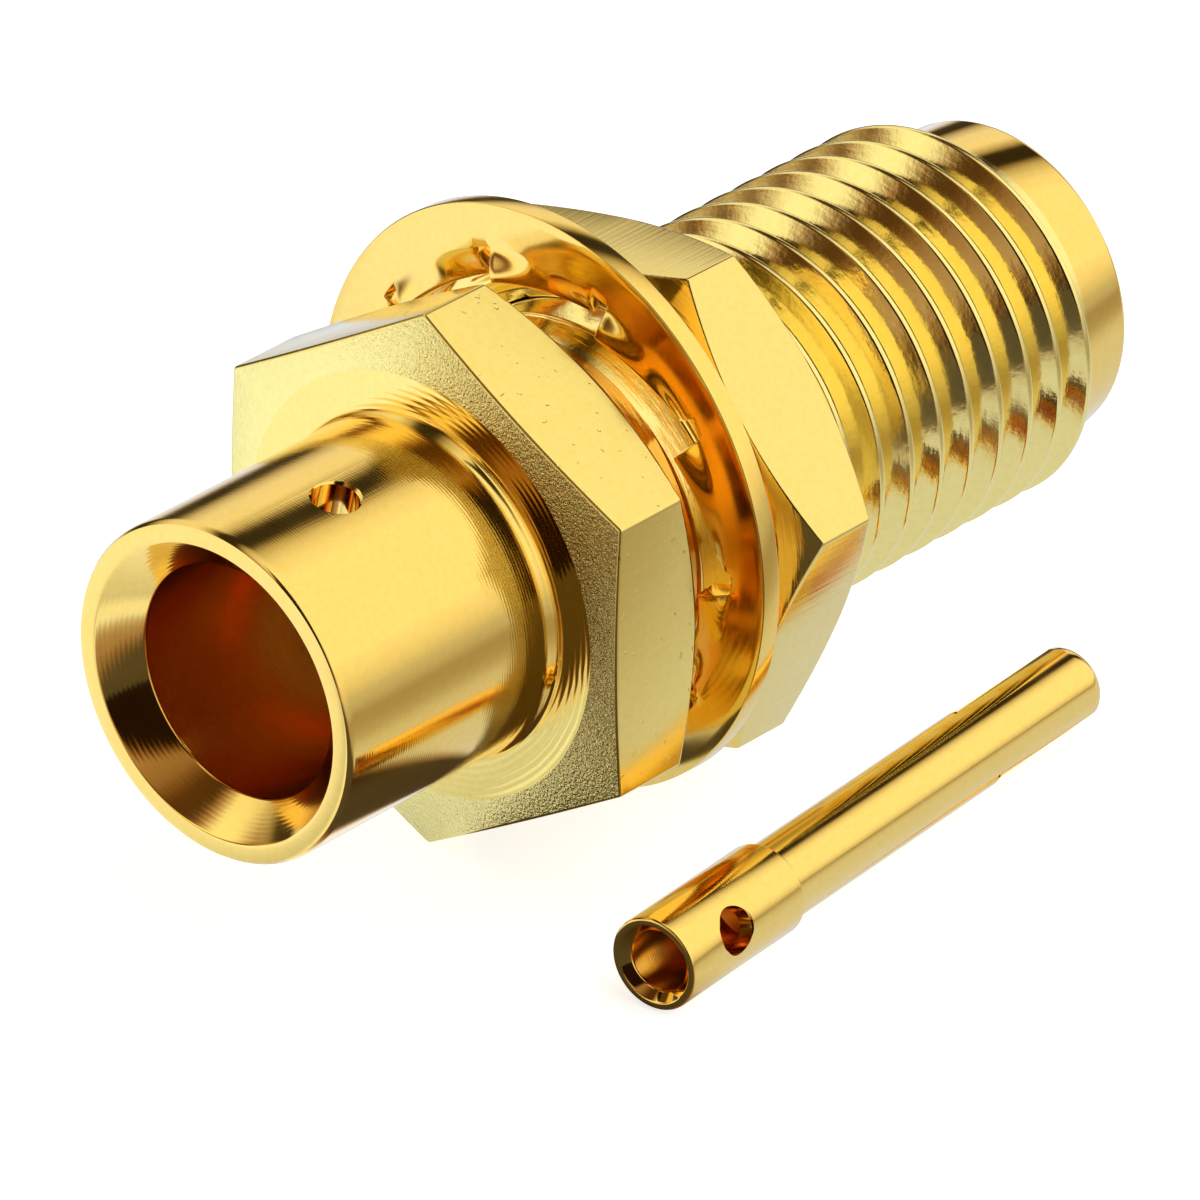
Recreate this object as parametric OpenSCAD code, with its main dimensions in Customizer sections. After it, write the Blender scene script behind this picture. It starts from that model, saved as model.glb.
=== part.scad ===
// Panel-mounting coaxial jack for semi-rigid cable, with its nut, toothed washer and loose centre contact.
// The jack's axis is X and its mating nose points to +X. The origin is on that axis, in the plane of the
// hexagon's rear face, which seats on the panel. Everything is in millimetres.

/* [Cable ferrule] */
// Outer diameter of the ferrule that the cable jacket is soldered into
ferrule_d = 5.56; // [5.2:0.02:5.8]
// Length of the ferrule in front of the hexagon
ferrule_l = 4.6; // [3.5:0.1:6]
// Diameter of the cable bore
cable_bore_d = 3.8; // [3.6:0.02:4]
// Depth of the cable bore from the mouth
cable_bore_l = 5; // [4.2:0.1:5.2]
// Diameter of the flared mouth at the rim
mouth_d = 4.91; // [4.4:0.01:5.1]
// Diameter of the vent hole that shows the solder
vent_d = 0.75; // [0.5:0.05:1]
// Distance from the mouth to the vent hole
vent_at = 2.15; // [1.2:0.05:3]
// Angle of the vent hole from straight up, turned towards -Y
vent_turn = 12; // [-60:1:60]

/* [Hexagon and barrel] */
// Size across the flats of the body's hexagon
hex_af = 7.94; // [7:0.01:9]
// Thickness of the hexagon
hex_t = 1.9; // [1.4:0.05:2.4]
// Major diameter of the barrel thread, one quarter inch
thread_d = 6.35; // [6.2:0.01:6.4]
// Threads in one inch
threads_per_inch = 36; // [32:1:40]
// Number of thread crests on the barrel
crests = 12; // [8:1:13]
// Distance from the panel face to the last crest
last_crest_x = 10.11; // [9.9:0.01:10.5]
// Diameter of the plain shoulder next to the hexagon
shoulder_d = 6.26; // [6:0.01:6.3]
// Distance from the panel face to the end of the nose
nose_x = 11.66; // [11.2:0.01:12.2]
// Outer diameter of the plain nose
nose_d = 5.36; // [5.28:0.01:5.49]
// Bore of the nose that takes the mating plug
socket_d = 4.62; // [4.6:0.01:4.67]
// Depth of that bore, down to the reference plane
socket_l = 1.93; // [1.88:0.01:1.98]
// Diameter of the bore that holds the insulator
insulator_d = 4.1; // [3.9:0.01:4.2]

/* [Panel nut] */
// Size across the flats of the nut
nut_af = 7.86; // [7:0.01:9]
// Thickness of the nut
nut_t = 1.8; // [1.4:0.05:2.4]
// Angle of the nut's corner from straight up, turned towards -Y
nut_turn = 22.3; // [0:0.1:60]
// Gap between the loose washer's furthest teeth and the nut
nut_gap = 0.05; // [0.02:0.01:7.9]

/* [Lock washer] */
// Outer diameter of the washer
washer_d = 9.57; // [9:0.01:10.2]
// Thickness of the washer's sheet
washer_t = 0.34; // [0.3:0.01:0.6]
// Width of the closed ring outside the teeth
ring_w = 0.73; // [0.5:0.01:0.9]
// Number of inner teeth
teeth = 10; // [8:1:12]
// Twist of each tooth out of the ring's plane
tooth_twist = 14; // [8:1:15]
// Distance from the panel face to the middle of the washer's near side
washer_x = 1.1; // [0.5:0.01:1.6]
// Sideways play taken up to the left of the axis
play_y = 0.2; // [0:0.01:0.21]
// Sideways play taken up above the axis
play_z = 0.25; // [0:0.01:0.25]
// Lean of the loose washer on the barrel, its -Y side towards the panel face
washer_lean = 2.8; // [0:0.1:3]

/* [Centre contact] */
// Length of the contact
contact_l = 11.2; // [10:0.1:12]
// Diameter of the contact's shaft
shaft_d = 1.3; // [1.2:0.01:1.3]
// Diameter of the solder cup
cup_d = 1.52; // [1.4:0.01:1.6]
// Length of the solder cup
cup_l = 2.9; // [2.4:0.1:3.4]
// Bore of the solder cup, for the cable's centre wire
cup_bore_d = 1; // [0.94:0.01:1.1]
// Diameter of the inspection hole into the cup
peep_d = 0.76; // [0.5:0.02:0.8]
// Length of the slot between the two tines
slot_l = 2.8; // [2:0.1:3.4]
// Sideways distance from the jack's axis to the cup's rim
contact_y = 5.97; // [5.6:0.01:8]
// Place of the cup's rim along the jack
contact_x = -3.25; // [-6:0.05:0]
// Angle between the contact and the jack, seen from above
contact_yaw = 5.9; // [0:0.1:8]

/* [Hidden] */
$fn = 96;

gold = [0.93, 0.76, 0.36];
ptfe = [0.95, 0.95, 0.93];

pitch = 25.4 / threads_per_inch;
thread_depth = 0.6134 * pitch;      // five eighths of the sharp thread's height
thread_root_r = thread_d / 2 - thread_depth;
crest_flat = pitch / 8;
flank_run = thread_depth * tan(30); // a 60 degree thread form
hex_r = hex_af / 2 / cos(30);
chamfer_slope = tan(30);
turned_face_r = 3.5;                // the front face is turned flat out to here
front_slope = tan(9);               // and falls away to the corners
chamfer_inset = 0.04;               // the corner chamfers start this far inside the flats
ferrule_x = -hex_t - ferrule_l;
fillet_r = 0.14;                    // where the ferrule runs into the turned face
fillet_step = 0.06;                 // height of the fillet's foot above that face
edge_break = 0.06;
rim_break = 0.1;                    // the rounder outer edge of the ferrule's rim
lip_r = 1.7;                        // the lip between the cable bore and the insulator
insulator_x = -0.9;
reference_x = nose_x - socket_l;
socket_lead = 0.12;                 // lead-in at the rim of the nose
fit_gap = 0.01;
past = 1;                           // cutters run this far past the solid

thread_clear = 0.03;                // between the nut's bore and the crests
nut_bore_r = thread_d / 2 + thread_clear;
nut_sink = 0.22;                    // countersink at both ends of the nut's bore
ring_r = washer_d / 2 - ring_w;
tip_clear = 0.38;                   // between the teeth's tips and the thread, all round
tooth_l = ring_r - thread_d / 2 - tip_clear;
tooth_bite = 0.2;                   // how far the tooth's foot reaches into the ring
tooth_root_w = 2.2;
tooth_tip_w = 1.75;
tooth_proud = tooth_root_w / 2 * sin(tooth_twist) - washer_t / 2 * (1 - cos(tooth_twist));
lean_reach = (ring_r + tooth_bite) * sin(washer_lean);
nut_x = washer_x + washer_t + tooth_proud + lean_reach + nut_gap;

slot_w = 0.46;
socket_pin_d = 0.94;                // bore that grips the mating pin
socket_pin_l = 3;
tine_round = 0.12;
cup_mouth_d = 1.3;
cup_bore_l = 2.3;
peep_at = 1.2;                      // inspection hole, from the rim
peep_up = 22;                       // its angle above the horizontal, towards -Y
slot_up = -45;                      // the slot's angle, from the same line
contact_tilt = atan((cup_d - shaft_d) / 2 / (contact_l - cup_l));

// A solid of revolution about X, from points given as [radius, x].
module turned(profile) {
  rotate([0, 90, 0]) rotate_extrude() polygon(profile);
}

// A round bar along X.
module bar(r, from, to) {
  translate([from, 0, 0]) rotate([0, 90, 0]) cylinder(r = r, h = to - from);
}

// A hexagonal bar along X with a corner straight up.
module hex_bar(corner_r, from, to) {
  translate([from, 0, 0]) rotate([0, 90, 0]) cylinder(r = corner_r, h = to - from, $fn = 6);
}

// Outline of the ridges, each from its left foot to its right foot.
function ridge(x) = [
  [thread_root_r, x - crest_flat / 2 - flank_run],
  [thread_d / 2, x - crest_flat / 2],
  [thread_d / 2, x + crest_flat / 2],
  [thread_root_r, x + crest_flat / 2 + flank_run]
];

first_crest_x = last_crest_x - (crests - 1) * pitch;
shoulder_x = first_crest_x - pitch - crest_flat / 2;

// The small fillet where the ferrule runs into the turned face.
function ferrule_fillet() = [
  for (a = [0:15:60])
    [
      ferrule_d / 2 + fillet_r * (1 - cos(a)),
      -hex_t - fillet_step - fillet_r * (sin(60) - sin(a))
    ]
];

// Outside of the one turned piece, without the hexagon.
module barrel_and_ferrule() {
  turned(concat(
    [
      [0, ferrule_x],
      [ferrule_d / 2 - rim_break, ferrule_x],
      [ferrule_d / 2, ferrule_x + rim_break]
    ],
    ferrule_fillet(),
    [
      [shoulder_d / 2, -hex_t / 2],
      [shoulder_d / 2, shoulder_x],
      [thread_root_r, shoulder_x + (shoulder_d / 2 - thread_root_r) * tan(30)]
    ],
    [for (k = [0:crests - 1]) each ridge(first_crest_x + k * pitch)],
    [
      [nose_d / 2, last_crest_x + crest_flat / 2 + flank_run],
      [nose_d / 2, nose_x - edge_break],
      [nose_d / 2 - edge_break, nose_x],
      [0, nose_x]
    ]
  ));
}

// The hexagon, turned flat in front and chamfered at the corners on both sides.
module hexagon() {
  rear_r = hex_af / 2 - chamfer_inset;
  limit_r = hex_r + past;
  intersection() {
    hex_bar(hex_r, -hex_t, 0);
    turned([
      [0, -hex_t],
      [turned_face_r, -hex_t],
      [limit_r, -hex_t + (limit_r - turned_face_r) * front_slope],
      [limit_r, -(limit_r - rear_r) * chamfer_slope],
      [rear_r, 0],
      [0, 0]
    ]);
  }
}

// The stepped bore: flared mouth, cable bore, lip, insulator bore and the nose's socket.
module stepped_bore() {
  mouth_l = (mouth_d - cable_bore_d) / 2;
  lip_x = ferrule_x + cable_bore_l;
  turned([
    [0, ferrule_x - past],
    [mouth_d / 2 + past, ferrule_x - past],
    [mouth_d / 2, ferrule_x],
    [cable_bore_d / 2, ferrule_x + mouth_l],
    [cable_bore_d / 2, lip_x],
    [lip_r, lip_x],
    [lip_r, insulator_x],
    [insulator_d / 2, insulator_x],
    [insulator_d / 2, reference_x],
    [socket_d / 2, reference_x],
    [socket_d / 2, nose_x - socket_lead],
    [socket_d / 2 + socket_lead + past, nose_x + past],
    [0, nose_x + past]
  ]);
}

module vent_hole() {
  translate([ferrule_x + vent_at, 0, 0]) rotate([vent_turn, 0, 0])
    translate([0, 0, cable_bore_d / 4]) cylinder(d = vent_d, h = ferrule_d, $fn = 48);
}

module connector_body() {
  color(gold) difference() {
    union() {
      barrel_and_ferrule();
      hexagon();
    }
    stepped_bore();
    vent_hole();
  }
}

// Pressed in from the nose against the lip; its stepped hole takes the contact from the cable side.
module insulator() {
  shoulder_at = reference_x - (contact_l - cup_l);
  r = insulator_d / 2 - fit_gap;
  color(ptfe) turned([
    [cup_d / 2 + 2 * fit_gap, insulator_x],
    [r, insulator_x],
    [r, reference_x],
    [shaft_d / 2 + 2 * fit_gap, reference_x],
    [shaft_d / 2 + 2 * fit_gap, shoulder_at],
    [cup_d / 2 + 2 * fit_gap, shoulder_at]
  ]);
}

// A thin hexagonal nut, chamfered on both faces and countersunk at the bore.
module panel_nut() {
  corner_r = nut_af / 2 / cos(30);
  face_r = nut_af / 2 - chamfer_inset;
  limit_r = corner_r + past;
  drop = (limit_r - face_r) * chamfer_slope;
  color(gold) translate([nut_x, 0, 0]) rotate([nut_turn, 0, 0]) difference() {
    intersection() {
      hex_bar(corner_r, 0, nut_t);
      turned([
        [0, 0], [face_r, 0], [limit_r, drop],
        [limit_r, nut_t - drop], [face_r, nut_t], [0, nut_t]
      ]);
    }
    bar(nut_bore_r, -past, nut_t + past);
    turned([
      [0, -past], [nut_bore_r + nut_sink + past, -past],
      [nut_bore_r, nut_sink], [0, nut_sink]
    ]);
    turned([
      [0, nut_t - nut_sink], [nut_bore_r, nut_t - nut_sink],
      [nut_bore_r + nut_sink + past, nut_t + past], [0, nut_t + past]
    ]);
  }
}

// One inner tooth, tapered towards the barrel and twisted about its own length.
module tooth() {
  tip = -tooth_bite - tooth_l;
  translate([0, 0, -ring_r - tooth_bite]) rotate([0, 0, tooth_twist])
    rotate([0, 90, 0]) translate([0, 0, -washer_t / 2]) linear_extrude(washer_t)
      polygon([
        [0, -tooth_root_w / 2], [-tooth_bite, -tooth_root_w / 2], [tip, -tooth_tip_w / 2],
        [tip, tooth_tip_w / 2], [-tooth_bite, tooth_root_w / 2], [0, tooth_root_w / 2]
      ]);
}

module lock_washer() {
  color(gold) translate([washer_x + washer_t / 2, play_y, play_z]) rotate([0, 0, -washer_lean]) {
    difference() {
      bar(washer_d / 2, -washer_t / 2, washer_t / 2);
      bar(ring_r, -past, past);
    }
    for (k = [0:teeth - 1])
      rotate([360 / teeth * k, 0, 0]) tooth();
  }
}

// The contact along X, with the cup's rim at the origin and the slotted end at +X.
module contact_along_x() {
  difference() {
    turned([
      [cup_bore_d / 2, cup_bore_l], [cup_bore_d / 2, (cup_mouth_d - cup_bore_d) / 2],
      [cup_mouth_d / 2, 0], [cup_d / 2 - edge_break, 0], [cup_d / 2, edge_break],
      [cup_d / 2, cup_l - edge_break], [cup_d / 2 - edge_break, cup_l],
      [shaft_d / 2, cup_l], [shaft_d / 2, contact_l - tine_round],
      for (a = [30:30:60])
        [shaft_d / 2 - tine_round * (1 - cos(a)), contact_l - tine_round * (1 - sin(a))],
      [shaft_d / 2 - tine_round, contact_l],
      [socket_pin_d / 2, contact_l], [socket_pin_d / 2, contact_l - socket_pin_l],
      [0, contact_l - socket_pin_l], [0, cup_bore_l]
    ]);
    translate([peep_at, 0, 0]) rotate([90 - peep_up, 0, 0]) cylinder(d = peep_d, h = cup_d, $fn = 48);
    rotate([-slot_up, 0, 0]) translate([contact_l - slot_l, -cup_d, -slot_w / 2])
      cube([slot_l + past, 2 * cup_d, slot_w]);
  }
}

// The loose contact lies beside the jack, on the level of the hexagon's lowest corner.
module centre_contact() {
  color(gold) translate([contact_x, -contact_y, -hex_r]) rotate([0, 0, contact_yaw])
    translate([0, 0, cup_d / 2 + cup_l * sin(contact_tilt)]) rotate([0, contact_tilt, 0])
      contact_along_x();
}

connector_body();
insulator();
panel_nut();
lock_washer();
centre_contact();
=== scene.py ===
import math

import bmesh
import bpy
import numpy as np
from mathutils import Matrix, Vector


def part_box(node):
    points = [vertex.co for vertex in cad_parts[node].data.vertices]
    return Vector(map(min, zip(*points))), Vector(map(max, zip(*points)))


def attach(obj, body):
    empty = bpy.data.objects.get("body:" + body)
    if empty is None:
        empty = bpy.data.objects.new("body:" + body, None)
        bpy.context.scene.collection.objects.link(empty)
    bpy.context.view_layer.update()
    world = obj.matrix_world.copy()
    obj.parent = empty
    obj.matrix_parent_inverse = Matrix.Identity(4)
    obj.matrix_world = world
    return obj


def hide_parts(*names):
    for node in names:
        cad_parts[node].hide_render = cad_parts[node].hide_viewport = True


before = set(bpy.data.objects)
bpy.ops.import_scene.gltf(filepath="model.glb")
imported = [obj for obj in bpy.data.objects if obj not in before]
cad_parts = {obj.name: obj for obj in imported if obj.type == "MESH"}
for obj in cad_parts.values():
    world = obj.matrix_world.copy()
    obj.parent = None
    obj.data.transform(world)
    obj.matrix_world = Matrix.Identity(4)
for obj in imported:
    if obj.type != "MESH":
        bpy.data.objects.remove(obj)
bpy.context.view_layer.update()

# A gold-plated SMA jack with its lock washer, panel nut and loose contact. Sizes are in millimetres and
# become metres when a mesh is made. The axis of the jack is X, x = 0 is the hexagon's panel face, and an
# angle is in degrees, counted round X from straight up towards -Y.
MM = 0.001

# ---------------------------------------------------------------- sizes

# The thread that the body and the nut share: 1/4-36, right-handed.
PITCH = 25.4 / 36
MAJOR_R = 3.175
DEPTH = 0.6134 * PITCH
CREST_FLAT = PITCH / 8
FLANK_RUN = DEPTH * math.tan(math.radians(30))
CREST_CUT, ROOT_CUT = 0.035, 0.05         # how far the rounding of a crest and of a root reaches
CREST_X = 10.022                          # the last crest of the helix, straight above the axis
FADE_ARC = 60                             # the part of a turn over which the thread starts or ends
START_SLOPE = 3

# The hexagons of the body and the nut.
HEX_AF, NUT_AF = 7.94, 7.86
HEX_EDGE = 0.07
CHAMFER_INSET = 0.04
CHAMFER_SLOPE = math.tan(math.radians(30))
NUT_TURN = 22.3

# The body, from the ferrule's mouth to the nose.
FERRULE_X, FERRULE_R = -6.5, 2.78
RIM_R, MOUTH_R, CABLE_R = 2.55, 2.455, 1.9
FOOT_RUN, FOOT_STEP, FOOT_FLARE = 0.12, 0.06, 0.015
FOOT_R = FERRULE_R + 0.07
VENT_X, VENT_TURN, VENT_R, VENT_SINK = FERRULE_X + 2.15, 12, 0.375, 0.05
LIP_X, LIP_R = -1.5, 1.7
INSULATOR_X, INSULATOR_R = -0.9, 2.05
FLANGE_T = 1.9
FACE_R = 3.5
FRONT_SLOPE = math.tan(math.radians(9))
SHOULDER_X, SHOULDER_R = 1.5, 3.13
THREAD_START, THREAD_END = 1.0, 10.75     # where the rows of the mesh follow the helix
NOSE_X, NOSE_R = 11.66, 2.68
SOCKET_R, SOCKET_L, SOCKET_LEAD = 2.31, 1.93, 0.12
HAIR = 0.001                              # keeps two rows of a mesh apart

# The nut's thread, opened a little so that it clears the barrel's.
NUT_THREAD_GAP = 0.035
NUT_MINOR_R = 2.87
NUT_SINK_R = MAJOR_R + 0.22

# The insulator's stepped hole.
BUSH_GAP = 0.01
BUSH_BORE_R, BUSH_CUP_R, BUSH_STEP_X = 0.655, 0.78, 1.43

# The lock washer. Its mesh has rows from the rim inwards and columns round the axis.
TEETH = 10
WASHER_R, RING_R, TOOTH_TIP_R = 4.78, 4.055, 3.555
HALF_ROOT, HALF_TIP = 1.1, 0.875
TOOTH_TWIST = math.tan(math.radians(14))
WASHER_T, WASHER_EDGE = 0.34, 0.05
WASHER_Y, WASHER_Z, WASHER_LEAN = 0.2, 0.25, 2.8
RING_ROWS, TOOTH_ROWS = 4, 9
COLUMNS_PER_TOOTH, COLUMNS_ON_TOOTH = 24, 18

# The loose contact, along X from the rim of its cup.
CONTACT_L, CUP_L = 11.2, 2.9
SHAFT_R, CUP_R = 0.65, 0.76
CUP_BORE_R, CUP_MOUTH_R, CUP_BORE_L, CUP_POINT = 0.5, 0.65, 2.3, 0.12
PIN_R, PIN_L, PIN_POINT = 0.47, 3.0, 0.1
PEEP_R, PEEP_AT, PEEP_UP = 0.38, 1.2, 22
PEEP_SINK, PEEP_SINK_R = 0.02, CUP_R - 0.035
SLOT_L, SLOT_W, SLOT_UP = 2.8, 0.46, -45
TINE_BEND = 0.08
CONTACT_AT, CONTACT_YAW = (-3.25, -5.967), 5.9


# ---------------------------------------------------------------- outlines

def hexagon_radius(angle, flats):
    """Radius of a hexagon with rounded corners, at degrees from one of its corners."""
    off = math.radians((angle + 30) % 60 - 30)
    half = flats / 2
    centre = (half - HEX_EDGE) / math.cos(math.radians(30))
    turn = math.atan2(HEX_EDGE * math.sin(math.radians(30)), centre + HEX_EDGE * math.cos(math.radians(30)))
    if abs(off) < turn:
        return centre * math.cos(off) + math.sqrt(HEX_EDGE ** 2 - (centre * math.sin(off)) ** 2)
    return half / math.cos(math.radians(30) - abs(off))


def hexagon_columns(first_corner):
    """Angles round a hexagonal piece, closer together at its corners."""
    near = (-0.6, -0.4, -0.2, 0, 0.2, 0.4, 0.6)
    corners = [(first_corner + 60 * k + d) % 360 for k in range(6) for d in near]
    even = [a for a in np.arange(0, 360, 1.5) if min(abs(a - c) for c in corners) > 0.3]
    return sorted(set(even + corners + [0.0])) + [360.0]


def round_columns(step):
    """Angles all round a piece."""
    return list(np.arange(0, 361, step))


def rounded(corners, closed=True, steps=3):
    """Points and finishes along a profile. A corner is (x, r, cut, finish of what follows)."""
    points, finishes = [], []
    count, most = len(corners), 0.48
    for i, (x, r, size, finish) in enumerate(corners):
        at = np.array([x, r])
        if size == 0 or (not closed and i in (0, count - 1)):
            points.append(at)
            finishes.append(finish)
            continue
        before = np.array(corners[i - 1][:2]) - at
        after = np.array(corners[(i + 1) % count][:2]) - at
        a = at + before * min(size / np.linalg.norm(before), most)
        b = at + after * min(size / np.linalg.norm(after), most)
        for s in np.linspace(0, 1, steps + 1):
            points.append((1 - s) ** 2 * a + 2 * s * (1 - s) * at + s ** 2 * b)
            finishes.append(finish)
    return points, finishes


# ---------------------------------------------------------------- meshes

WELD, SLIVER = 2e-7, 1e-7                 # metres
SHARP_ANGLE = 38


def add_object(name, data):
    thing = bpy.data.objects.new(name, data)
    bpy.context.scene.collection.objects.link(thing)
    return thing


def mesh_piece(name, points, faces, finishes, materials):
    """A mesh object in metres, welded, facing outwards, with one finish index for each face."""
    mesh = bpy.data.meshes.new(name)
    mesh.from_pydata([Vector(p) * MM for p in points], [], faces)
    for material in materials:
        mesh.materials.append(material)
    mesh.polygons.foreach_set("material_index", finishes)
    work = bmesh.new()
    work.from_mesh(mesh)
    bmesh.ops.remove_doubles(work, verts=work.verts, dist=WELD)
    bmesh.ops.dissolve_degenerate(work, edges=work.edges, dist=SLIVER)
    bmesh.ops.recalc_face_normals(work, faces=work.faces)
    work.to_mesh(mesh)
    work.free()
    return add_object(name, mesh)


def lathe(name, columns, profile, materials):
    """A skin round X. profile(angle) gives the same number of points at every angle."""
    rows = [profile(angle) for angle in columns]
    finishes = rows[0][1]
    count, names = len(finishes), list(materials)
    points, faces, index = [], [], []
    for angle, (outline, _) in zip(columns, rows):
        side, rise = -math.sin(math.radians(angle)), math.cos(math.radians(angle))
        points += [(x, r * side, r * rise) for x, r in outline]
    for j in range(len(columns) - 1):
        a, b = j * count, (j + 1) * count
        for i in range(count):
            if finishes[i] is None:
                continue
            k = (i + 1) % count
            faces.append((a + i, b + i, b + k, a + k))
            index.append(names.index(finishes[i]))
    return mesh_piece(name, points, faces, index, [materials[n] for n in names])


def drill(radius, start, sink_at, sink, end, sides=48):
    """A round cutter along +Z from start to end, which widens by sink from sink_at on."""
    levels = [(start, radius), (sink_at, radius), (sink_at + sink, radius + sink), (end, radius + sink)]
    turns = np.linspace(0, math.tau, sides, endpoint=False)
    points = [(r * math.cos(turn), r * math.sin(turn), z) for z, r in levels for turn in turns]
    faces = []
    for k in range(len(levels) - 1):
        for j in range(sides):
            n = (j + 1) % sides
            faces.append((k * sides + j, k * sides + n, (k + 1) * sides + n, (k + 1) * sides + j))
    faces.append(tuple(range(sides)))
    faces.append(tuple(range((len(levels) - 1) * sides, len(levels) * sides)))
    return mesh_piece("cutter", points, faces, [0] * len(faces), [])


def slab(length, width, height):
    """A box-shaped cutter round the origin."""
    mesh = bpy.data.meshes.new("slot")
    work = bmesh.new()
    size = Matrix.Diagonal((length * MM, width * MM, height * MM, 1))
    bmesh.ops.create_cube(work, size=1, matrix=size)
    work.to_mesh(mesh)
    work.free()
    return add_object("slot", mesh)


def turned_about_x(angle):
    return Matrix.Rotation(math.radians(angle), 4, "X")


def moved_along_x(x):
    return Matrix.Translation(Vector((x, 0, 0)) * MM)


def cut(piece, *cutters):
    """Takes the cutters out of the piece and removes them."""
    for cutter in cutters:
        take = piece.modifiers.new("cut", "BOOLEAN")
        take.operation, take.solver, take.object = "DIFFERENCE", "EXACT", cutter
    graph = bpy.context.evaluated_depsgraph_get()
    mesh = bpy.data.meshes.new_from_object(piece.evaluated_get(graph))
    piece.modifiers.clear()
    piece.data = mesh
    for cutter in cutters:
        bpy.data.objects.remove(cutter)


def finish_piece(piece, node, body):
    """Smooth shading that follows the large faces, and the piece's place in the model."""
    piece.data.polygons.foreach_set("use_smooth", [True] * len(piece.data.polygons))
    piece.data.set_sharp_from_angle(angle=math.radians(SHARP_ANGLE))
    weigh = piece.modifiers.new("weighted normals", "WEIGHTED_NORMAL")
    weigh.mode, weigh.weight, weigh.keep_sharp = "FACE_AREA", 60, True
    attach(piece, body)
    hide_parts(node)
    return piece


# ---------------------------------------------------------------- the thread

def thread_profile():
    """One pitch of the thread, from root to root, as offsets from the crest and radii."""
    half, foot, root_r = CREST_FLAT / 2, CREST_FLAT / 2 + FLANK_RUN, MAJOR_R - DEPTH
    corners = [
        (-PITCH / 2, root_r, 0, "thread"),
        (-foot, root_r, ROOT_CUT, "thread"),
        (-half, MAJOR_R, CREST_CUT, "thread"),
        (0, MAJOR_R, 0, "thread"),
        (half, MAJOR_R, CREST_CUT, "thread"),
        (foot, root_r, ROOT_CUT, "thread"),
        (PITCH / 2, root_r, 0, "thread"),
    ]
    points, _ = rounded(corners, closed=False, steps=2)
    return np.array(points)


THREAD = thread_profile()


def wrapped(angle):
    """The angle between -180 and 180, so that the thread starts and ends straight below the axis."""
    return (angle + 180) % 360 - 180


def thread_radius(x, angle):
    """Radius of an endless thread."""
    off = (np.asarray(x) - CREST_X - PITCH * wrapped(angle) / 360 + PITCH / 2) % PITCH - PITCH / 2
    return np.interp(off, THREAD[:, 0], THREAD[:, 1])


def thread_stations(start, end, angle):
    """Places along X, the same number at every angle, that follow the helix between start and end."""
    crest = CREST_X + PITCH * angle / 360
    first = math.floor((start - CREST_X) / PITCH) - 2
    last = math.ceil((end - CREST_X) / PITCH) + 1
    stations = [crest + k * PITCH + off for k in range(first, last + 1) for off in THREAD[:-1, 0]]
    return np.clip(stations, start, end)


def barrel_radius(x, angle):
    """The barrel's thread, which runs out of the shoulder and fades away before the nose."""
    turn = wrapped(angle)
    share = min(1, (180 - abs(turn)) / FADE_ARC)
    start = SHOULDER_X + PITCH * turn / 360 * share
    end = CREST_X + PITCH * turn / 360 + PITCH * 0.48
    radius = np.maximum(thread_radius(x, angle), SHOULDER_R - np.maximum(x - start, 0) * START_SLOPE)
    fade = min(1, max(0, (FADE_ARC - 180 - turn) / FADE_ARC))
    past_end = NOSE_R + (MAJOR_R - NOSE_R) * fade
    return np.where(x > end, np.minimum(radius, past_end), radius)


# ---------------------------------------------------------------- pieces

def jack_outside(angle):
    """The body's outline from the mouth's rim to where the thread starts."""
    hex_r = hexagon_radius(angle, HEX_AF)
    front = -FLANGE_T + (hex_r - FACE_R) * FRONT_SLOPE
    rear_r = HEX_AF / 2 - CHAMFER_INSET
    rear = -max(hex_r - rear_r, 0) * CHAMFER_SLOPE
    return rounded([
        (FERRULE_X, RIM_R, 0, "polished"),
        (FERRULE_X, FERRULE_R, 0.15, "ferrule"),
        (-FLANGE_T - FOOT_STEP - FOOT_RUN, FERRULE_R, 0.1, "ferrule"),
        (-FLANGE_T - FOOT_STEP, FOOT_R, 0.02, "polished"),
        (-FLANGE_T, FOOT_R + FOOT_FLARE, 0, "turned"),
        (-FLANGE_T, FACE_R, 0, "speckled"),
        (front, hex_r, 0.05, "flat"),
        (rear, hex_r, 0.05, "turned"),
        (0, rear_r, 0.03, "turned"),
        (0, SHOULDER_R, 0.02, "neck"),
        (THREAD_START, SHOULDER_R, 0, "neck"),
    ], closed=False)


def jack_inside():
    """The body's outline from the end of the thread round the nose and through the bore to the rim."""
    socket_end = NOSE_X - SOCKET_L
    return rounded([
        (THREAD_END, NOSE_R, 0, "polished"),
        (NOSE_X, NOSE_R, 0.08, "polished"),
        (NOSE_X, SOCKET_R + SOCKET_LEAD, 0.03, "polished"),
        (NOSE_X - SOCKET_LEAD, SOCKET_R, 0.03, "bore"),
        (socket_end, SOCKET_R, 0, "bore"),
        (socket_end, INSULATOR_R, 0, "bore"),
        (INSULATOR_X, INSULATOR_R, 0, "bore"),
        (INSULATOR_X, LIP_R, 0.02, "bore"),
        (LIP_X, LIP_R, 0.02, "bore"),
        (LIP_X, CABLE_R, 0, "bore"),
        (FERRULE_X + MOUTH_R - CABLE_R, CABLE_R, 0.04, "mouth"),
        (FERRULE_X, MOUTH_R, 0.04, "polished"),
        (FERRULE_X, RIM_R, 0, None),
    ], closed=False)


def jack_profile(angle):
    """The body's outline at one angle: once round the wall, from the mouth over the outside and back."""
    points, finishes = jack_outside(angle)
    stations = thread_stations(THREAD_START + HAIR, THREAD_END, angle)
    thread = [np.array(p) for p in zip(stations, barrel_radius(stations, angle))]
    back, ends = jack_inside()
    return points + thread + back, finishes + ["thread"] * len(stations) + ends


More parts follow.
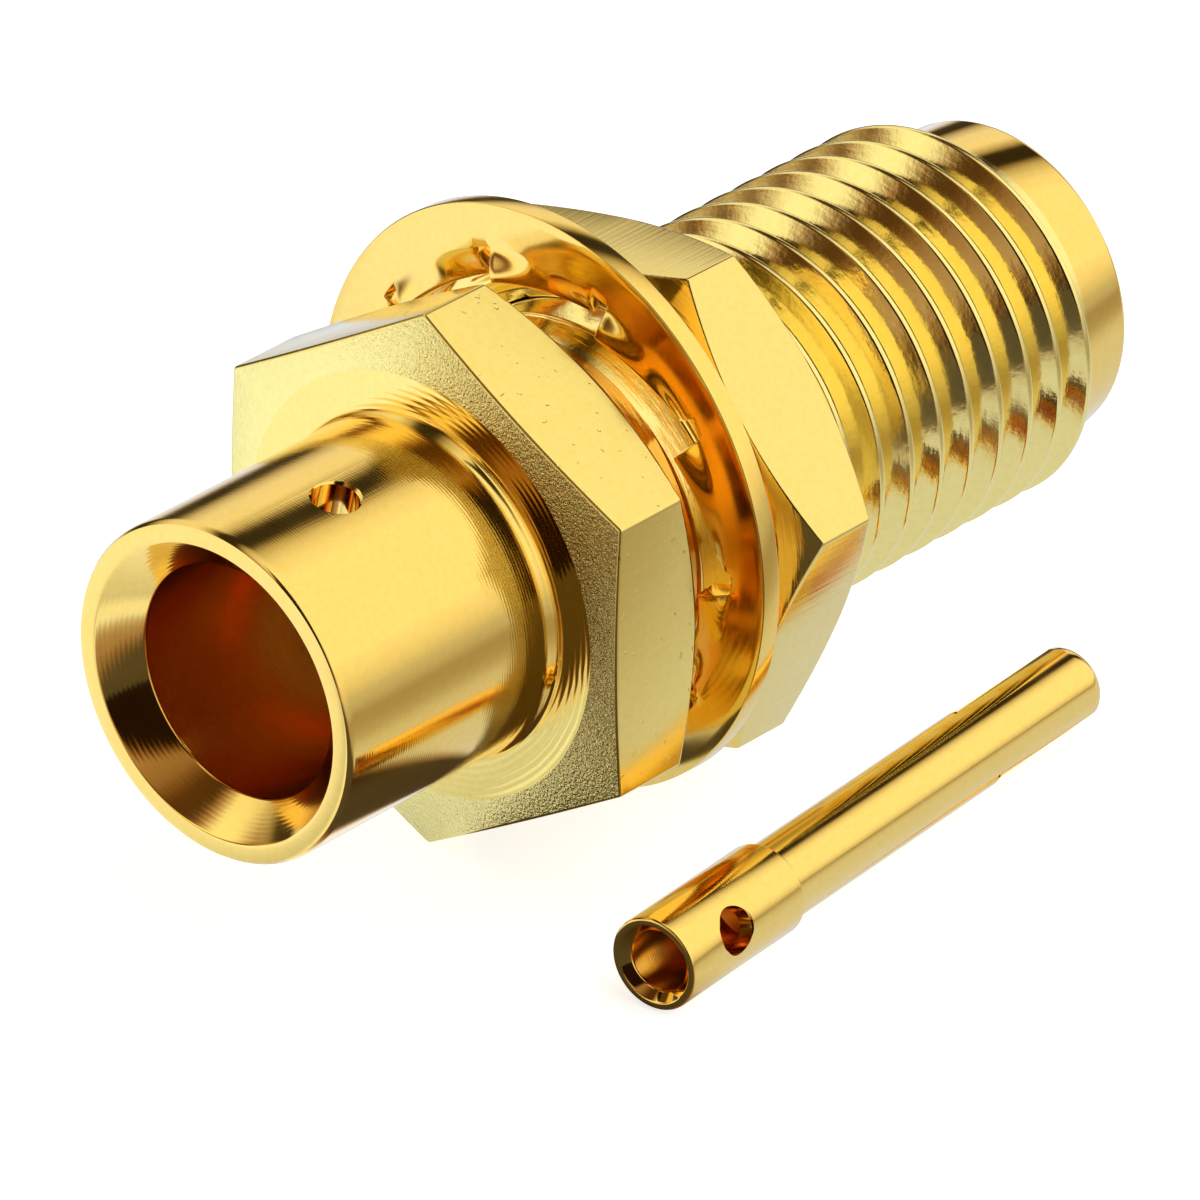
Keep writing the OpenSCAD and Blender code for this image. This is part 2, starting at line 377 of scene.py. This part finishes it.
def make_jack(materials):
    piece = lathe("jack_body", hexagon_columns(0), jack_profile, materials)
    vent = drill(VENT_R, start=1, sink_at=FERRULE_R - VENT_SINK, sink=VENT_SINK, end=4)
    vent.matrix_world = moved_along_x(VENT_X) @ turned_about_x(VENT_TURN)
    cut(piece, vent)
    return finish_piece(piece, "connector_body", "jack")


def make_nut(materials):
    near, far = (corner.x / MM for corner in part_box("panel_nut"))
    face_r = NUT_AF / 2 - CHAMFER_INSET

    def profile(angle):
        hex_r = hexagon_radius(angle - NUT_TURN, NUT_AF)
        drop = max(hex_r - face_r, 0) * CHAMFER_SLOPE
        points, finishes = rounded([
            (near, NUT_SINK_R, 0.03, "turned"),
            (near, face_r, 0.03, "chamfer"),
            (near + drop, hex_r, 0.04, "milled"),
            (far - drop, hex_r, 0.04, "chamfer"),
            (far, face_r, 0.03, "turned"),
            (far, NUT_SINK_R, 0.03, "thread"),
        ])
        stations = thread_stations(near + HAIR, far - HAIR, angle)[::-1]
        thread = np.maximum(thread_radius(stations, angle) + NUT_THREAD_GAP, NUT_MINOR_R)
        sink = NUT_SINK_R - np.minimum(stations - near, far - stations)
        points += [np.array(p) for p in zip(stations, np.maximum(thread, sink))]
        return points, finishes + ["thread"] * len(stations)

    piece = lathe("hex_nut", hexagon_columns(NUT_TURN), profile, materials)
    return finish_piece(piece, "panel_nut", "nut")


def make_insulator(materials):
    near, far = (corner.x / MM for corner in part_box("insulator"))
    outer_r = INSULATOR_R - BUSH_GAP
    outline = rounded([
        (near, BUSH_CUP_R, 0.03, "ptfe"),
        (near, outer_r, 0.05, "ptfe"),
        (far, outer_r, 0.05, "ptfe"),
        (far, BUSH_BORE_R, 0.05, "ptfe"),
        (BUSH_STEP_X, BUSH_BORE_R, 0, "ptfe"),
        (BUSH_STEP_X, BUSH_CUP_R, 0, "ptfe"),
    ])
    piece = lathe("ptfe_bush", round_columns(4.0), lambda angle: outline, materials)
    return finish_piece(piece, "insulator", "jack")


def washer_point(row, column):
    """One point of the middle of the washer's sheet, before it leans."""
    tooth, step = divmod(column, COLUMNS_PER_TOOTH)
    share = (step - COLUMNS_ON_TOOTH / 2) / (COLUMNS_ON_TOOTH / 2)      # from -1 to 1 across a tooth
    spread, root, lift = 360 / TEETH, math.degrees(HALF_ROOT / RING_R), 0.0
    if row > RING_ROWS:
        down = (row - RING_ROWS) / TOOTH_ROWS
        ease = down * down * (3 - 2 * down)
        radius = RING_R + (TOOTH_TIP_R - RING_R) * down
        across = share * (HALF_ROOT + (HALF_TIP - HALF_ROOT) * down)
        lift = across * TOOTH_TWIST * ease
        angle = math.degrees(math.asin(across / radius))
    else:
        radius = WASHER_R + (RING_R - WASHER_R) * row / RING_ROWS
        gap = (step - COLUMNS_ON_TOOTH) / (COLUMNS_PER_TOOTH - COLUMNS_ON_TOOTH)
        angle = share * root if share <= 1 else root + gap * (spread - 2 * root)
    turn = math.radians(tooth * spread + angle)
    return lift, -radius * math.sin(turn), radius * math.cos(turn)


def washer_sheet():
    """Points and faces of the middle of the washer's sheet."""
    columns = TEETH * COLUMNS_PER_TOOTH
    points, faces, index = [], [], {}
    for row in range(RING_ROWS + TOOTH_ROWS + 1):
        for column in range(columns):
            if row <= RING_ROWS or column % COLUMNS_PER_TOOTH <= COLUMNS_ON_TOOTH:
                index[row, column] = len(points)
                points.append(washer_point(row, column))
    for row in range(RING_ROWS + TOOTH_ROWS):
        for column in range(columns):
            if row < RING_ROWS or column % COLUMNS_PER_TOOTH < COLUMNS_ON_TOOTH:
                after = (column + 1) % columns
                face = [(row, column), (row, after), (row + 1, after), (row + 1, column)]
                faces.append(tuple(index[key] for key in face))
    return points, faces


def make_washer(materials):
    """A stamped ring with inner teeth that twist smoothly out of its plane."""
    low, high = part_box("lock_washer")
    centre = (low + high) / 2 / MM
    lean = Matrix.Rotation(math.radians(-WASHER_LEAN), 4, "Z")
    place = Matrix.Translation((centre.x, WASHER_Y, WASHER_Z)) @ lean
    points, faces = washer_sheet()
    points = [place @ Vector(p) for p in points]
    piece = mesh_piece("toothed_washer", points, faces, [0] * len(faces), [materials["washer"]])
    sheet = piece.modifiers.new("sheet", "SOLIDIFY")
    sheet.thickness, sheet.offset, sheet.use_even_offset = WASHER_T * MM, 0, True
    edge = piece.modifiers.new("edge", "BEVEL")
    edge.width, edge.segments = WASHER_EDGE * MM, 3
    edge.limit_method, edge.angle_limit = "ANGLE", math.radians(40)
    return finish_piece(piece, "lock_washer", "washer")


def contact_outline():
    """From the bottom of the cup's bore over the outside to the bottom of the pin's bore."""
    return rounded([
        (CUP_BORE_L + CUP_POINT, 0, 0, "bore"),
        (CUP_BORE_L, CUP_BORE_R, 0.03, "bore"),
        (CUP_MOUTH_R - CUP_BORE_R, CUP_BORE_R, 0.03, "polished"),
        (0, CUP_MOUTH_R, 0.03, "polished"),
        (0, CUP_R, 0.05, "cup"),
        (CUP_L, CUP_R, 0.04, "polished"),
        (CUP_L, SHAFT_R, 0.02, "shaft"),
        (CONTACT_L, SHAFT_R, 0.22, "polished"),
        (CONTACT_L, PIN_R, 0.04, "bore"),
        (CONTACT_L - PIN_L, PIN_R, 0, "bore"),
        (CONTACT_L - PIN_L - PIN_POINT, 0, 0, None),
    ], closed=False, steps=4)


def bend_tines(piece):
    """Moves the two halves of the slotted end towards each other."""
    up = math.radians(SLOT_UP)
    across = Vector((0, math.sin(up), math.cos(up)))
    for vertex in piece.data.vertices:
        share = max(0, (vertex.co.x / MM - CONTACT_L + SLOT_L) / SLOT_L)
        vertex.co -= across * math.copysign(TINE_BEND * MM * share ** 2, vertex.co.dot(across))


def lay_on_floor(piece):
    """Rests the contact on the floor, on its cup and on its far end."""
    floor_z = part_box("centre_contact")[0].z / MM
    tilt = math.atan((CUP_R - SHAFT_R) / (CONTACT_L - CUP_L))
    rim = Vector((*CONTACT_AT, floor_z + CUP_R + CUP_L * math.sin(tilt))) * MM
    yaw = Matrix.Rotation(math.radians(CONTACT_YAW), 4, "Z")
    piece.data.transform(Matrix.Translation(rim) @ yaw @ Matrix.Rotation(tilt, 4, "Y"))


def make_contact(materials):
    """The loose contact, made along X from the cup's rim and then laid on the floor."""
    outline = contact_outline()
    piece = lathe("solder_contact", round_columns(3.75), lambda angle: outline, materials)
    peep = drill(PEEP_R, start=0, sink_at=PEEP_SINK_R, sink=PEEP_SINK, end=2)
    peep.matrix_world = moved_along_x(PEEP_AT) @ turned_about_x(90 - PEEP_UP)
    slot = slab(2 * SLOT_L, 4, SLOT_W)
    slot.matrix_world = turned_about_x(-SLOT_UP) @ moved_along_x(CONTACT_L)
    bpy.context.view_layer.update()
    cut(piece, peep, slot)
    bend_tines(piece)
    lay_on_floor(piece)
    return finish_piece(piece, "centre_contact", "jack")


# ---------------------------------------------------------------- nodes

class Nodes:
    """Short names for building a node tree. A value is a number, a tuple or another node's output."""

    def __init__(self, tree):
        self.tree = tree
        tree.nodes.clear()

    def feed(self, socket, value):
        if isinstance(value, bpy.types.NodeSocket):
            self.tree.links.new(value, socket)
        else:
            socket.default_value = value

    def fill(self, sockets, values):
        for socket, value in zip(sockets, values):
            self.feed(socket, value)

    def add(self, kind, **values):
        node = self.tree.nodes.new(kind)
        for name, value in values.items():
            if hasattr(node, name) and name not in node.inputs:
                setattr(node, name, value)
            else:
                self.feed(node.inputs[name], value)
        return node

    def math(self, operation, a, b=0.0):
        node = self.add("ShaderNodeMath", operation=operation)
        self.fill(node.inputs, (a, b))
        return node.outputs[0]

    def plus(self, a, b):
        return self.math("ADD", a, b)

    def times(self, a, b):
        return self.math("MULTIPLY", a, b)

    def vector(self, operation, *values):
        node = self.add("ShaderNodeVectorMath", operation=operation)
        self.fill(node.inputs, values)
        return node.outputs["Value" if operation == "DOT_PRODUCT" else "Vector"]

    def split(self, vector):
        return self.add("ShaderNodeSeparateXYZ", Vector=vector).outputs

    def remap(self, value, low, high, to_low, to_high):
        node = self.add("ShaderNodeMapRange")
        self.fill(node.inputs, (value, low, high, to_low, to_high))
        return node.outputs[0]

    def noise(self, vector, scale, detail=2.0, roughness=0.5):
        node = self.add("ShaderNodeTexNoise", Vector=vector, Scale=scale, Detail=detail, Roughness=roughness)
        return node.outputs["Fac"]

    def mix(self, factor, a, b):
        """A colour between two colours."""
        return self.add("ShaderNodeMix", data_type="RGBA", Factor=factor, A=a, B=b).outputs["Result"]

    def mix_shader(self, factor, a, b):
        node = self.add("ShaderNodeMixShader")
        self.fill(node.inputs, (factor, a.outputs[0], b.outputs[0]))
        return node.outputs[0]

    def bump(self, height):
        """A normal that follows a height in metres."""
        return self.add("ShaderNodeBump", Strength=1.0, Distance=1.0, Height=height).outputs[0]


# ---------------------------------------------------------------- marks

# A mark is a height in metres, and a scale is per metre, because place is in the object's coordinates.

def radius_of(nodes, place):
    _, y, z = nodes.split(place)
    return nodes.math("SQRT", nodes.plus(nodes.times(y, y), nodes.times(z, z)))


def rings(nodes, place, along, spacing, depth):
    """Tool marks round the axis, spaced along one coordinate."""
    wander = nodes.times(nodes.noise(place, 1200, 2), spacing * 0.8)
    wave = nodes.math("SINE", nodes.times(nodes.plus(along, wander), math.tau / spacing))
    return nodes.times(wave, depth)


def grain(nodes, place, along, across, depth):
    """Noise stretched into lines, with its scale along the axis and across it."""
    stretched = nodes.add("ShaderNodeMapping", Vector=place, Scale=(along, across, across))
    return nodes.times(nodes.noise(stretched.outputs["Vector"], 1.0, 3), depth)


def turned_face(nodes, place):
    return rings(nodes, place, radius_of(nodes, place), spacing=1.1e-4, depth=1.2e-6)


def turned_bar(nodes, place):
    lines = rings(nodes, place, nodes.split(place)[0], spacing=5.5e-5, depth=2.0e-7)
    return nodes.plus(lines, grain(nodes, place, along=24000, across=1500, depth=1.0e-6))


def neck_marks(nodes, place):
    return grain(nodes, place, along=16000, across=700, depth=7.0e-6)


def milled_lines(nodes, place):
    return grain(nodes, place, along=250, across=14000, depth=3.0e-6)


def soft_lines(nodes, place):
    pits = nodes.remap(nodes.noise(place, 7000, 1), 0.24, 0.3, -4.0e-6, 0)
    return nodes.plus(grain(nodes, place, along=600, across=9000, depth=8.0e-7), pits)


def speckle(nodes, place):
    """A blasted look that is coarser towards -Y."""
    depth = nodes.remap(nodes.split(place)[1], 0.002, -0.003, 1.0e-5, 5.5e-5)
    return nodes.times(nodes.noise(place, 20000, 2, 0.6), depth)


def thread_marks(nodes, place):
    rough = nodes.times(nodes.noise(place, 9000, 2), 2.0e-6)
    return nodes.plus(grain(nodes, place, along=20000, across=1800, depth=2.0e-6), rough)


# ---------------------------------------------------------------- finishes

GOLD = (1.0, 0.68, 0.165)
# Painted shade: the bore and the neck lie in shade, so they get a darker, more orange gold than the rest.
PAINTED_SHADE_GOLD = (0.95, 0.47, 0.06)
THREAD_GOLD = (1.0, 0.80, 0.27)
TURNED_GOLD = (0.98, 0.74, 0.20)
SPECKLED_GOLD = (0.97, 0.80, 0.26)
FLAT_GOLD = (0.93, 0.70, 0.19)
MILLED_GOLD = (0.92, 0.70, 0.20)
DULLING = (0.97, 0.95, 0.85)              # what the dull patches of the plating keep of its colour
SMOOTHEST, ROUGHEST = -0.025, 0.05        # how far the roughness wanders from a finish's own
SWELL = 1.2e-6                            # plating is never dead flat, and this bends its reflections
PTFE_WHITE = (0.88, 0.88, 0.85)


def start_material(name):
    """A material with a Principled shader, and the object's coordinates to place marks by."""
    material = bpy.data.materials.new(name)
    material.use_nodes = True
    nodes = Nodes(material.node_tree)
    place = nodes.add("ShaderNodeTexCoord").outputs["Object"]
    shader = nodes.add("ShaderNodeBsdfPrincipled")
    nodes.add("ShaderNodeOutputMaterial", Surface=shader.outputs[0])
    return material, nodes, place, shader.inputs


def metal(name, colour=GOLD, roughness=0.1, marks=None):
    """Gold plate. marks(nodes, place) gives a height in metres that the bump follows."""
    material, nodes, place, sockets = start_material(name)
    patchy, fine = nodes.noise(place, 900, 3), nodes.noise(place, 9000, 2)
    dull = [part * kept for part, kept in zip(colour, DULLING)]
    height = nodes.times(nodes.noise(place, 1500, 2), SWELL)
    if marks:
        height = nodes.plus(height, marks(nodes, place))
    sheen = nodes.remap(patchy, 0.3, 0.7, roughness + SMOOTHEST, roughness + ROUGHEST)
    tone = nodes.mix(nodes.remap(fine, 0.35, 0.75, 0, 1), (*colour, 1), (*dull, 1))
    nodes.feed(sockets["Metallic"], 1.0)
    nodes.feed(sockets["Roughness"], sheen)
    nodes.feed(sockets["Base Color"], tone)
    nodes.feed(sockets["Normal"], nodes.bump(height))
    return material


def ptfe():
    material, nodes, place, sockets = start_material("ptfe")
    marks = rings(nodes, place, radius_of(nodes, place), spacing=9e-5, depth=6e-7)
    nodes.feed(sockets["Base Color"], (*PTFE_WHITE, 1))
    nodes.feed(sockets["Subsurface Weight"], 0.3)
    nodes.feed(sockets["Subsurface Scale"], 0.3 * MM)
    nodes.feed(sockets["Roughness"], nodes.remap(nodes.noise(place, 2500), 0.3, 0.7, 0.35, 0.5))
    nodes.feed(sockets["Normal"], nodes.bump(marks))
    return material


# ---------------------------------------------------------------- studio

# Brightness of the studio by angle round X, once for what the +X sides see and once for what the -X sides
# see. Soft lights on both sides leave narrow dark gaps, and the open front of the light tent is dark.
STUDIO_RIGHT = [
    (-180, 0.75), (-140, 0.80), (-112, 0.85), (-100, 0.85), (-95, 0.60), (-92, 0.05), (-80, 0.04),
    (-72, 0.50), (-63, 0.80), (-46, 0.85), (-38, 0.45), (-33, 0.03), (-20, 0.03), (-13, 0.50),
    (-6, 0.72), (0, 0.86), (12, 1.00), (68, 1.00), (80, 0.84), (90, 0.65), (97, 0.50),
    (101, 0.34), (106, 0.36), (111, 0.46), (115, 0.62), (121, 0.72), (150, 0.72), (179, 0.75),
]
STUDIO_LEFT = [
    (-180, 0.72), (-168, 0.80), (-150, 1.00), (-128, 1.10), (-110, 1.14), (-92, 1.10), (-81, 1.00),
    (-75, 0.30), (-70, 0.04), (-66, 0.40), (-57, 1.00), (-44, 1.00), (-36, 0.40), (-29, 0.06),
    (-12, 0.08), (0, 0.20), (7, 0.28), (28, 0.36), (60, 0.45), (120, 0.42), (130, 0.30),
    (150, 0.38), (158, 0.60), (165, 1.05), (173, 1.05), (179, 0.75),
]
CURVE_TOP = 1.3                           # the level that a curve's own 1 stands for
LIGHT = 1.15
TENT_FRONT = (-0.72, -0.69, 0)            # the open front of the tent, seen from above
WHITE = (1, 1, 1, 1)
DIM_LEFT, DIM_RIGHT = (1.0, 0.45, 0.15, 1), (1.0, 0.80, 0.50, 1)

PAPER = (0.85, 0.85, 0.83, 1)
PAPER_TINT = (0.90, 1.02, 1.35, 1)        # of the light that the gold sees in the paper
PAPER_WHITENING = 0.75                    # for the camera alone, which has to see white
PAPER_GLOW = 0.85                         # how much of the paper's reflection is the studio's light
FLOOR_R, FLOOR_GAP = 600, 0.01


def curve_of(nodes, share, table):
    """A curve through the table's levels, for an angle given as a share of the full turn."""
    node = nodes.add("ShaderNodeFloatCurve", Value=share)
    curve = node.mapping.curves[0]
    for angle, level in table[1:-1]:
        curve.points.new((angle + 180) / 360, level / CURVE_TOP)
    curve.points[0].location = (0, table[0][1] / CURVE_TOP)
    curve.points[-1].location = (1, table[-1][1] / CURVE_TOP)
    for point in curve.points:
        point.handle_type = "VECTOR"
    node.mapping.update()
    return nodes.times(node.outputs[0], CURVE_TOP)


def studio_light(nodes, direction, tint):
    """Colour and strength of the light from a direction. Its dim parts are warm."""
    x, y, z = nodes.split(direction)
    around = nodes.math("ARCTAN2", nodes.times(y, -1.0), z)
    share = nodes.remap(around, -math.pi, math.pi, 0, 1)
    right, left = curve_of(nodes, share, STUDIO_RIGHT), curve_of(nodes, share, STUDIO_LEFT)
    side = nodes.remap(x, -0.5, -0.2, 0, 1)
    level = nodes.plus(nodes.times(right, side), nodes.times(left, nodes.math("SUBTRACT", 1.0, side)))
    in_plan = nodes.vector("NORMALIZE", nodes.vector("MULTIPLY", direction, (1, 1, 0)))
    front = nodes.vector("DOT_PRODUCT", in_plan, TENT_FRONT)
    level = nodes.times(level, nodes.remap(front, 0.90, 0.95, 1.0, 0.03))
    dim = nodes.mix(side, DIM_LEFT, DIM_RIGHT)
    return nodes.mix(nodes.remap(level, 0.1, 0.75, 0, 1), dim, tint), nodes.times(level, LIGHT)


def make_world():
    """The studio for the light and the reflections, and plain white for the camera."""
    world = bpy.data.worlds.new("studio")
    bpy.context.scene.world = world
    world.use_nodes = True
    nodes = Nodes(world.node_tree)
    colour, level = studio_light(nodes, nodes.add("ShaderNodeTexCoord").outputs["Generated"], WHITE)
    seen = nodes.add("ShaderNodeLightPath").outputs["Is Camera Ray"]
    studio = nodes.add("ShaderNodeBackground", Color=colour, Strength=level)
    white = nodes.add("ShaderNodeBackground", Color=WHITE, Strength=1.0)
    nodes.add("ShaderNodeOutputWorld", Surface=nodes.mix_shader(seen, studio, white))


def floor_material():
    """Matt white paper. In the gold it shows the studio's light, which comes from all round the jack."""
    material = bpy.data.materials.new("floor")
    material.use_nodes = True
    nodes = Nodes(material.node_tree)
    seen = nodes.add("ShaderNodeLightPath").outputs
    away = nodes.vector("NORMALIZE", nodes.add("ShaderNodeTexCoord").outputs["Object"])
    colour, level = studio_light(nodes, away, PAPER_TINT)
    matt = nodes.add("ShaderNodeBsdfDiffuse", Color=PAPER)
    white = nodes.add("ShaderNodeEmission", Strength=nodes.times(seen["Is Camera Ray"], PAPER_WHITENING))
    paper = nodes.add("ShaderNodeAddShader")
    nodes.fill(paper.inputs, (matt.outputs[0], white.outputs[0]))
    glow = nodes.add("ShaderNodeEmission", Color=colour, Strength=level)
    glossy = nodes.times(seen["Is Glossy Ray"], PAPER_GLOW)
    nodes.add("ShaderNodeOutputMaterial", Surface=nodes.mix_shader(glossy, paper, glow))
    return material


def make_floor():
    """A round sheet of paper just under the jack."""
    floor_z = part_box("connector_body")[0].z
    mesh = bpy.data.meshes.new("floor")
    work = bmesh.new()
    place = Matrix.Translation((0, 0, floor_z - FLOOR_GAP * MM))
    bmesh.ops.create_circle(work, cap_ends=True, segments=96, radius=FLOOR_R * MM, matrix=place)
    work.to_mesh(mesh)
    work.free()
    floor = add_object("floor", mesh)
    mesh.materials.append(floor_material())


# ---------------------------------------------------------------- camera

CAMERA_AZIMUTH, CAMERA_ELEVATION = math.radians(48.315), math.radians(28.62)
CAMERA_TARGET, CAMERA_DISTANCE = Vector((-0.21, -2.19, -0.15)), 228.0
CAMERA_LENS, CAMERA_SENSOR = 450, 36


def make_camera():
    """The photo's camera, far off and with a long lens."""
    a, e = CAMERA_AZIMUTH, CAMERA_ELEVATION
    back = Vector((-math.sin(a) * math.cos(e), -math.cos(a) * math.cos(e), math.sin(e)))
    camera = add_object("camera", bpy.data.cameras.new("camera"))
    camera.data.sensor_width, camera.data.lens = CAMERA_SENSOR, CAMERA_LENS
    camera.data.clip_start, camera.data.clip_end = 0.01, 10
    camera.location = (CAMERA_TARGET + back * CAMERA_DISTANCE) * MM
    camera.rotation_euler = (-back).to_track_quat("-Z", "Y").to_euler()
    bpy.context.scene.camera = camera


# ---------------------------------------------------------------- the scene

make_camera()
make_world()
make_floor()

polished = metal("polished_gold", roughness=0.06)
# The bore's gold is darker and more orange as painted shade; the contact's bore uses it too.
bore = metal("bore_gold_painted_shade", PAINTED_SHADE_GOLD, roughness=0.22, marks=turned_bar)
thread = metal("thread_gold", THREAD_GOLD, roughness=0.12, marks=thread_marks)
turned = metal("turned_gold", TURNED_GOLD, roughness=0.07, marks=turned_face)

make_jack({
    "polished": polished,
    "ferrule": metal("ferrule_gold", roughness=0.09, marks=turned_bar),
    "mouth": metal("mouth_gold", roughness=0.10, marks=turned_bar),
    "turned": turned,
    "speckled": metal("speckled_gold", SPECKLED_GOLD, roughness=0.22, marks=speckle),
    "flat": metal("flat_gold", FLAT_GOLD, roughness=0.15, marks=soft_lines),
    # The neck's gold is darker and more orange as painted shade.
    "neck": metal("neck_gold_painted_shade", PAINTED_SHADE_GOLD, roughness=0.15, marks=neck_marks),
    "thread": thread,
    "bore": bore,
})
make_nut({
    "turned": turned,
    "chamfer": metal("chamfer_gold", roughness=0.10, marks=neck_marks),
    "milled": metal("milled_gold", MILLED_GOLD, roughness=0.15, marks=milled_lines),
    "thread": thread,
})
make_insulator({"ptfe": ptfe()})
make_washer({"washer": metal("washer_gold", roughness=0.11)})
make_contact({
    "polished": polished,
    "cup": metal("cup_gold", roughness=0.10, marks=turned_bar),
    "shaft": metal("shaft_gold", roughness=0.09),
    "bore": bore,
})

bpy.context.scene.view_settings.view_transform = "Standard"
